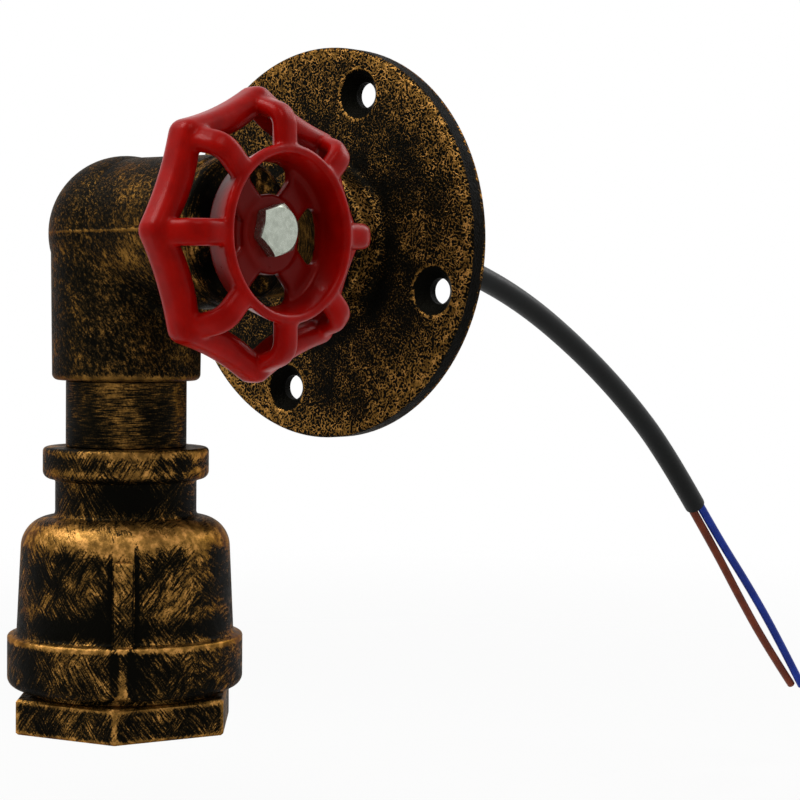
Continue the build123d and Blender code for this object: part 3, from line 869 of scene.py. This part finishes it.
# ---------------------------------------------------------------- sub-assemblies
@dataclass
class WallMount:
    """Flange, horizontal nipple and the cable's rubber bush.

    Attributes:
        rim: Radius of the flange's edge, in millimetres.
        face: Station of the flange's face.
        hub: Radius of the hub's nose.
        hole_circle: Radius of the circle of screw holes.
        hole_edge: Radius of a countersink.
        hole_turn: Angle of the first hole, in degrees.
    """

    rim: float = 47.7
    face: float = 5.0
    hub: float = 18.8
    hole_circle: float = 37.6
    hole_edge: float = 6.1
    hole_turn: float = -18.2

    def dress(self) -> None:
        """Dress the three pieces."""
        dress("wall_flange", WornIron(
            "worn_flange", Line.WALL, Brush.WORMY, coverage=0.24, patches=1.1, grained=0.35,
            softness=0.22,
            bands=(Band(Measure.RADIUS, self.rim - 1.5, 2.0, 0.30),
                   Band(Measure.RADIUS, self.rim - 4.0, 10.0, 0.16),
                   Band(Measure.STATION, self.face * 0.5, self.face * 0.45, -1.3),
                   Band(Measure.RADIUS, self.hub, 1.4, 0.25),
                   Band(Measure.RADIUS, self.hub + 4.5, 4.0, -0.18)),
            corners=(Corners(4, self.hole_turn, self.hole_circle, self.hole_edge + 0.9, 0.45),
                     Corners(4, self.hole_turn, self.hole_circle, self.hole_edge, -1.4)),
            relief=0.14))
        dress("flange_nipple", nipple_finish("brushed_pipe", Line.WALL))
        dress("cable_grommet", Moulded(
            "grommet_rubber", paint(30, 30, 31), paint(22, 22, 22), roughness=0.6))


@dataclass
class Elbow:
    """Three-way elbow and the plug of its sideways leg.

    Attributes:
        face: Station of its lower face, in millimetres.
        seam: Station of its moulding line, which lies level with the horizontal legs' axes.
    """

    face: float = 32.6
    seam: float = 0.0

    def dress(self) -> None:
        """Dress both pieces."""
        dress("corner_elbow", WornIron(
            "worn_elbow", Line.DROP, Brush.DABBED, coverage=0.43, patches=1.3, softness=0.40, bared=0.82,
            bands=(Band(Measure.STATION, self.face - 0.5, 1.3, 0.60),
                   Band(Measure.STATION, self.seam, 0.5, 0.50)),
            relief=0.10, seam=self.seam))
        dress("branch_plug", WornIron(
            "worn_plug", Line.BRANCH, Brush.ROUND, coverage=0.36, patches=1.8))


@dataclass
class LampCup:
    """Vertical nipple, bell cup and hexagon bush.

    Attributes:
        top: Station of the cup's top, in millimetres.
        neck: Station of the foot of its upper ring.
        shoulder: Station of its shoulder.
        band: Station of the top of its lower band.
        hex_top: Station of the hexagon's top.
        hex_end: Station of the hexagon's face.
        hex_turn: Angle of a corner of the hexagon, in degrees.
        rib_turn: Angle of a rib, in degrees.
        rib: Radius of a rib's face.
    """

    top: float = 47.5
    neck: float = 54.2
    shoulder: float = 63.0
    band: float = 88.9
    hex_top: float = 102.4
    hex_end: float = 110.2
    hex_turn: float = 12.8
    rib_turn: float = -43.2
    rib: float = 25.3

    def dress(self) -> None:
        """Dress the three pieces."""
        dress("drop_nipple", nipple_finish("brushed_drop", Line.DROP))
        dress("bell_cup", WornIron(
            "worn_cup", Line.DROP, Brush.HATCHED, coverage=0.41, patches=1.6,
            bands=(Band(Measure.STATION, self.shoulder + 3.4, 4.6, 0.55),
                   Band(Measure.STATION, self.neck + 4.0, 5.0, -0.34),
                   Band(Measure.STATION, self.band - 3.0, 3.4, -0.32),
                   Band(Measure.STATION, self.band + 0.9, 1.2, 0.60),
                   Band(Measure.STATION, self.top + 1.0, 1.5, 0.35),
                   Band(Measure.STATION, self.neck - 1.4, 1.6, 0.22)),
            # The second ring keeps a darker stripe either side of each rib, outlining it.
            corners=(Corners(2, self.rib_turn, self.rib - 1.3, 2.6, 0.55),
                     Corners(2, self.rib_turn, self.rib - 1.3, 3.7, -0.30)),
            relief=0.08))
        dress("hex_bush", WornIron(
            "worn_hexagon", Line.DROP, Brush.HATCHED, coverage=0.39, patches=1.2,
            bands=(Band(Measure.STATION, self.hex_top + 0.5, 0.9, 0.45),
                   Band(Measure.STATION, self.hex_end - 0.3, 0.9, 0.45)),
            corners=(Corners(6, self.hex_turn, 0.0, 1.0, 0.45),),
            relief=0.06))


@dataclass
class Handwheel:
    """Red cast handwheel and its bolt.

    Attributes:
        depth: How often the grid of the wheel's skin is halved.
        swell: How far the skin is let out before it is smoothed, in metres.
        passes: How often it is smoothed.
    """

    depth: int = 7
    swell: float = 0.06 * MM
    passes: int = 6

    def build(self) -> None:
        """Blend the wheel's edges and dress both pieces."""
        wheel = softened("handwheel", "cast_handwheel", self.depth, self.swell, self.passes)
        wheel.data.materials.clear()
        # The third colour is painted shade for the inside of the bowl.
        enamel = Enamel("red_enamel", paint(156, 7, 2), shade=paint(138, 5, 2), painted_shade=paint(104, 4, 1))
        wheel.data.materials.append(enamel.make())
        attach(wheel, "wheel")
        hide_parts("handwheel")
        LOG.info("built %s", wheel.name)
        dress("wheel_bolt", Plated(
            "zinc_bolt", Line.BRANCH, paint(176, 182, 170), paint(156, 162, 150), roughness=0.26))


class ThreadTree:
    """Geometry Nodes tree of a rolled thread: a tube whose wall follows a helix.

    Attributes:
        AROUND: Points round the tube.
        DOWN: Points along it.
        RUN_IN: Share of its length over which the thread starts.
        RUN_OUT: Share of its length at which the thread starts to end.
        SEAM: Distance at which the tube's two edges are joined, in metres.
        tree: The tree.
        keys: Identifier of each input, by its label.
    """

    AROUND = 97
    DOWN = 145
    RUN_IN = 0.08
    RUN_OUT = 0.97
    SEAM = 0.01 * MM

    def __init__(self, material: bpy.types.Material) -> None:
        """Build the tree with its inputs.

        Args:
            material: Finish of the thread.
        """
        self.tree = bpy.data.node_groups.new("rolled_thread", "GeometryNodeTree")
        self.keys: dict[str, str] = {}
        for label in ("Radius", "Depth", "Pitch", "Length"):
            socket = self.tree.interface.new_socket(
                label, in_out="INPUT", socket_type="NodeSocketFloat")
            self.keys[label] = socket.identifier
        self.tree.interface.new_socket(
            "Geometry", in_out="OUTPUT", socket_type="NodeSocketGeometry")
        given = self.add("NodeGroupInput")
        grid = self.add("GeometryNodeMeshGrid", {
            "Size X": 1.0, "Size Y": 1.0, "Vertices X": self.AROUND, "Vertices Y": self.DOWN})
        parts = self.add("ShaderNodeSeparateXYZ", {0: self.add("GeometryNodeInputPosition").outputs[0]})
        turn = self.maths("MULTIPLY", self.maths("ADD", parts.outputs[0], 0.5), math.tau)
        share = self.maths("ADD", parts.outputs[1], 0.5)
        fall = self.maths("MULTIPLY", share, given.outputs["Length"])
        turns = self.maths("DIVIDE", fall, given.outputs["Pitch"])
        phase = self.maths("SUBTRACT", self.maths("MULTIPLY", turns, math.tau), turn)
        wave = self.maths("MULTIPLY", self.maths("ADD", self.maths("SINE", phase), -1.0), 0.5)
        started = self.eased(share, 0.0, self.RUN_IN)
        unended = self.eased(share, 1.0, self.RUN_OUT)
        edge = self.maths("MULTIPLY", started, unended)
        dip = self.maths("MULTIPLY", self.maths("MULTIPLY", wave, edge), given.outputs["Depth"])
        radius = self.maths("ADD", given.outputs["Radius"], dip)
        spot = self.add("ShaderNodeCombineXYZ", {
            0: self.maths("MULTIPLY", radius, self.maths("COSINE", turn)),
            1: self.maths("MULTIPLY", radius, self.maths("SINE", turn)),
            2: self.maths("MULTIPLY", fall, -1.0),
        })
        made = grid
        for kind, sockets in (("GeometryNodeSetPosition", {"Position": spot.outputs[0]}),
                              ("GeometryNodeMergeByDistance", {"Distance": self.SEAM}),
                              ("GeometryNodeSetShadeSmooth", {}),
                              ("GeometryNodeRealizeInstances", {}),
                              ("GeometryNodeSetMaterial", {"Material": material})):
            made = self.add(kind, {"Geometry": made.outputs[0], **sockets})
        self.add("NodeGroupOutput", {0: made.outputs[0]})

    def add(self, kind: str, sockets: dict | None = None, **settings: object) -> bpy.types.Node:
        """Add a node.

        Args:
            kind: Blender's type name of the node.
            sockets: Links or values for its inputs, by name or number.
            **settings: Its own settings.

        Returns:
            The new node.
        """
        node = self.tree.nodes.new(kind)
        for key, setting in settings.items():
            setattr(node, key, setting)
        for key, given in (sockets or {}).items():
            if isinstance(given, bpy.types.NodeSocket):
                self.tree.links.new(given, node.inputs[key])
            else:
                node.inputs[key].default_value = given
        return node

    def maths(self, operation: str, *terms: bpy.types.NodeSocket | float) -> bpy.types.NodeSocket:
        """Add a Math node on sockets or numbers and take its result."""
        return self.add("ShaderNodeMath", dict(enumerate(terms)), operation=operation).outputs[0]

    def eased(self, share: bpy.types.NodeSocket, start: float, end: float) -> bpy.types.NodeSocket:
        """Rise in a straight line from 0 at start to 1 at end, along the tube."""
        scaled = self.maths("DIVIDE", self.maths("SUBTRACT", share, start), end - start)
        return self.add("ShaderNodeClamp", {0: scaled}).outputs[0]


@dataclass
class Lampholder:
    """Porcelain lampholder with its shell, terminals and contact.

    Attributes:
        bore: Radius of the thread outside its grooves, just inside the shell, in millimetres.
        depth: Depth of the rolled thread.
        pitch: Its pitch.
        start: Station of its top.
        length: Its length.
    """

    bore: float = 13.41
    depth: float = 1.0
    pitch: float = 3.63
    start: float = 82.4
    length: float = 20.9

    def thread(self) -> None:
        """Build the thread that the lamp screws into."""
        piece = link("lamp_thread", bpy.data.meshes.new("lamp_thread"))
        thread = ThreadTree(Plated("brass_thread", Line.DROP, BRASS, BRASS_DULL).make())
        nodes = piece.modifiers.new("thread", "NODES")
        nodes.node_group = thread.tree
        for label, size in (("Radius", self.bore), ("Depth", self.depth), ("Pitch", self.pitch),
                            ("Length", self.length)):
            nodes[thread.keys[label]] = size * MM
        baked(piece)
        piece.data.transform(Matrix.Translation((0, -DROP_REACH * MM, -self.start * MM)))
        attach(piece, "fitting")
        LOG.info("built %s", piece.name)

    def build(self) -> None:
        """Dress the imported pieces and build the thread."""
        dress("lampholder_body", Moulded(
            "glazed_porcelain", paint(240, 237, 226), paint(228, 222, 206), roughness=0.25, coat=0.7))
        dress("cushion_ring", Moulded("fibre", paint(150, 74, 56), paint(124, 58, 44), roughness=0.8))
        for node in ("screw_shell", "shell_rivets", "neutral_terminal", "line_terminal"):
            dress(node, Plated("brass", Line.DROP, BRASS, BRASS_DULL))
        dress("terminal_screws", Plated(
            "zinc_screws", Line.DROP, paint(190, 192, 188), paint(150, 152, 150)))
        bronze = Plated("spring_bronze", Line.DROP, paint(206, 152, 104), paint(176, 122, 80))
        for node in ("contact_rivet", "centre_contact"):
            dress(node, bronze)
        self.thread()


# ---------------------------------------------------------------- cable
def cord_finish(name: str, colour: Colour, shade: Colour, roughness: float) -> Moulded:
    """Describe the plastic of a cable's sheath or core.

    Args:
        name: The material's name, which is its slot too.
        colour: Its main colour.
        shade: Its second tone.
        roughness: Its mean roughness.

    Returns:
        The finish.
    """
    return Moulded(name, colour, shade, roughness, clouds=0.12, relief=0.012, grain=1.2, shine=0.12)


SHEATH = cord_finish("black_sheath", paint(11, 13, 13), paint(8, 9, 9), 0.40)
BROWN = cord_finish("brown_insulation", paint(112, 46, 20), paint(94, 36, 15), 0.38)
BLUE = cord_finish("blue_insulation", paint(18, 50, 148), paint(13, 38, 124), 0.38)

CORD_ROUND = 6                                   # how finely a cord is round
CORD_STEPS = 16                                  # steps between two of its points
CORD_ORDER = 3                                   # points that shape each place of its curve


@dataclass
class SupplyCable:
    """Two-core cable behind the flange, with its stripped cores. Its sizes are all in metres.

    Attributes:
        sheath: Diameter of the sheath.
        core: Diameter of a core.
        pitch: Distance between the cores' centres.
        twist: Share of X in the direction from the brown core to the blue one. The rest is upright.
        sheath_length: Length of the sheath from the flange's back. Not used.
        brown_length: Length of the brown core from the sheath's end.
        blue_length: Length of the blue core from there.
        route: Control points of the sheath.
        brown: Control points of the brown core from the sheath's end: along its way, aside towards
            the blue core, and across both.
        blue: Control points of the blue core, in the same terms.
    """

    sheath: float = 0.0062
    core: float = 0.0025
    pitch: float = 0.0027
    twist: float = 0.6
    sheath_length: float = 0.1842
    brown_length: float = 0.0863
    blue_length: float = 0.0881
    route: tuple[Point, ...] = (
        (0, 0, 0), (0, 0.024, 0), (0, 0.050, -0.0045), (0, 0.076, -0.0132), (0, 0.102, -0.0264),
        (0, 0.126, -0.0416), (0, 0.146, -0.0574), (0, 0.1625, -0.0742),
    )
    brown: tuple[Point, ...] = (
        (0, 0, 0), (0.019, 0, 0), (0.041, -0.0007, 0.0003), (0.064, -0.0009, 0.0002),
        (0.0863, 0.0001, -0.0006),
    )
    blue: tuple[Point, ...] = (
        (0, 0, 0), (0.017, 0, 0), (0.039, 0.0009, -0.0004), (0.063, 0.0010, -0.0003),
        (0.0880, 0, 0.0007),
    )

    def curve(self, name: str, points: list[Vector], diameter: float,
              finish: Moulded) -> bpy.types.Object:
        """Lay a cord along its control points.

        Args:
            name: Name of the piece.
            points: Its control points.
            diameter: Its diameter.
            finish: Its finish.

        Returns:
            The cord.
        """
        data = bpy.data.curves.new(name, "CURVE")
        data.dimensions = "3D"
        data.bevel_depth = diameter / 2
        data.bevel_resolution = CORD_ROUND
        data.resolution_u = CORD_STEPS
        data.use_fill_caps = True
        spline = data.splines.new("NURBS")
        spline.points.add(len(points) - 1)
        for control, point in zip(spline.points, points):
            control.co = (*point, 1.0)
        spline.order_u = CORD_ORDER
        spline.use_endpoint_u = True
        data.materials.append(finish.make())
        piece = link(name, data)
        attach(piece, "fitting")
        LOG.info("laid %s", name)
        return piece

    def tail(self, side: int, shape: tuple[Point, ...]) -> list[Vector]:
        """Work out the control points of one core, in the part's frame.

        Args:
            side: -1 for brown and 1 for blue.
            shape: Its points along, aside and across.

        Returns:
            The points.
        """
        end = Vector(self.route[-1])
        way = (end - Vector(self.route[-2])).normalized()
        upright = math.sqrt(1 - self.twist ** 2)
        lean = Vector((self.twist, upright * -way.z, upright * way.y))
        start = end + lean * (side * self.pitch / 2)
        across = way.cross(lean)
        return [start + way * along + lean * aside + across * over for along, aside, over in shape]

    def build(self) -> None:
        """Lay the cable and its two cores, and dress what is inside the pipes."""
        points = [Vector(point) for point in self.route]
        cable = self.curve("flex_sheath", points, self.sheath, SHEATH)
        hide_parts("supply_cable")
        for name, side, shape, length, finish in (
                ("brown_core", -1, self.brown, self.brown_length, BROWN),
                ("blue_core", 1, self.blue, self.blue_length, BLUE)):
            run = self.tail(side, shape)
            core = self.curve(name, run, self.core, finish)
            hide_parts(name.replace("core", "tail"))
        for node, finish in (("inner_cable", SHEATH), ("brown_lead", BROWN), ("blue_lead", BLUE)):
            dress(node, finish)


# ---------------------------------------------------------------- camera, lights and floor
MIDDLE: Point = (0.0, -0.05, -0.04)              # what the lamps face, in metres
FILM_WIDTH = 36.0                                # width of the camera's film, in millimetres
FLOOR_COLOUR = paint(244, 244, 243)


@dataclass(frozen=True)
class Lamp:
    """Soft square lamp that faces the light's middle.

    Attributes:
        name: Its name.
        place: Its place, in metres.
        side: Its side, in metres.
        power: Its power, in watts.
    """

    name: str
    place: Point
    side: float
    power: float

    def build(self) -> None:
        """Hang the lamp and aim it."""
        data = bpy.data.lights.new(self.name, "AREA")
        data.size = self.side
        data.energy = self.power
        lamp = link(self.name, data)
        aim = Vector(MIDDLE) - Vector(self.place)
        turned = aim.to_track_quat("-Z", "Y").to_matrix().to_4x4()
        lamp.matrix_world = Matrix.Translation(self.place) @ turned


LAMPS = (
    Lamp("key", (-0.40, -0.60, 0.95), side=0.6, power=9.5),
    Lamp("side", (0.60, -0.35, 1.00), side=0.5, power=3.4),
    Lamp("rear", (0.25, 0.75, 0.55), side=0.6, power=3.5),
)


@dataclass
class Studio:
    """Camera at the photograph's place, soft lamps and a pale floor.

    Attributes:
        azimuth: Camera's turn from looking along +Y, in degrees.
        pitch: Its look down, in degrees.
        roll: Its roll, in degrees.
        focal: Its focal length in pixels of a picture 800 pixels wide.
        width: Width of that picture.
        eye: Its place, in metres.
        floor: Height of the floor.
        floor_reach: Half the floor's side.
        fade_start: Distance from the middle at which the floor starts to fade, in millimetres.
        fade_end: Distance at which it is gone.
        floor_glow: Share of the floor that the camera sees as plain white, whatever lights it.
        daylight: Strength of the light from all around.
    """

    azimuth: float = 40.9
    pitch: float = 2.11
    roll: float = 0.497
    focal: float = 2199.6
    width: int = 800
    eye: Point = (0.368907, -0.400739, -0.018404)
    floor: float = -0.165
    floor_reach: float = 4.0
    fade_start: float = 260.0
    fade_end: float = 900.0
    floor_glow: float = 0.8
    daylight: float = 0.24

    def camera(self) -> None:
        """Set the camera."""
        turn, down, lean = (math.radians(angle) for angle in (self.azimuth, self.pitch, self.roll))
        right = Vector((math.cos(turn), math.sin(turn), 0))
        ahead = math.cos(down)
        look = Vector((-math.sin(turn) * ahead, math.cos(turn) * ahead, -math.sin(down)))
        up = right.cross(look)
        camera_right = math.cos(lean) * right + math.sin(lean) * up
        camera_up = math.cos(lean) * up - math.sin(lean) * right
        data = bpy.data.cameras.new("camera")
        data.sensor_width = FILM_WIDTH
        data.lens = self.focal * FILM_WIDTH / self.width
        camera = link("camera", data)
        axes = Matrix((camera_right, camera_up, -look)).transposed().to_4x4()
        camera.matrix_world = Matrix.Translation(self.eye) @ axes
        bpy.context.scene.camera = camera

    def world(self) -> None:
        """Light the scene from all around, and show white to the camera and in reflections."""
        world = bpy.data.worlds.new("studio")
        world.use_nodes = True
        nodes = Nodes(world.node_tree)
        seen = nodes.value("ShaderNodeLightPath", output="Is Camera Ray")
        for ray in ("Is Glossy Ray", "Is Transmission Ray"):
            seen = seen.over(nodes.value("ShaderNodeLightPath", output=ray))
        sky = nodes.value("ShaderNodeBackground", None,
                          {"Color": WHITE, "Strength": seen.between(self.daylight, 1.0)})
        nodes.node("ShaderNodeOutputWorld", None, {"Surface": sky})
        bpy.context.scene.world = world

    def ground(self) -> None:
        """Lay the floor, which fades into the background and hides nothing from below."""
        data = bpy.data.meshes.new("floor")
        corners = [(x * self.floor_reach, y * self.floor_reach, self.floor)
                   for x, y in ((-1, -1), (1, -1), (1, 1), (-1, 1))]
        data.from_pydata(corners, [], [(0, 1, 2, 3)])
        shader = Shader("pale_floor")
        x, y, _ = shader.parts(shader.place())
        away = (x * x + y * y) ** 0.5
        matt = shader.value("ShaderNodeBsdfDiffuse", None, {"Color": FLOOR_COLOUR})
        white = shader.value("ShaderNodeEmission", None, {"Strength": 1.0, "Color": WHITE})
        seen = shader.value("ShaderNodeLightPath", output="Is Camera Ray")
        pale = shader.value("ShaderNodeMixShader", None, {0: seen * self.floor_glow, 1: matt, 2: white})
        clear = shader.value("ShaderNodeBsdfTransparent")
        below = shader.value("ShaderNodeNewGeometry", output="Backfacing")
        gone = away.smooth(self.fade_start, self.fade_end).over(below)
        blend = shader.value("ShaderNodeMixShader", None, {0: gone, 1: pale, 2: clear})
        shader.node("ShaderNodeOutputMaterial", None, {"Surface": blend})
        data.materials.append(shader.material)
        link("floor", data)

    def build(self) -> None:
        """Set up the studio."""
        bpy.context.scene.view_settings.view_transform = "Standard"
        self.camera()
        self.world()
        self.ground()
        for lamp in LAMPS:
            lamp.build()
        LOG.info("set up the studio")


def main() -> None:
    """Build the scene: the studio and the cable first, then each sub-assembly."""
    logging.basicConfig(level=logging.INFO, format="%(message)s")
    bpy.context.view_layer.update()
    Studio().build()
    SupplyCable().build()
    WallMount().dress()
    Elbow().dress()
    LampCup().dress()
    Handwheel().build()
    Lampholder().build()


if __name__ == "__main__":
    main()
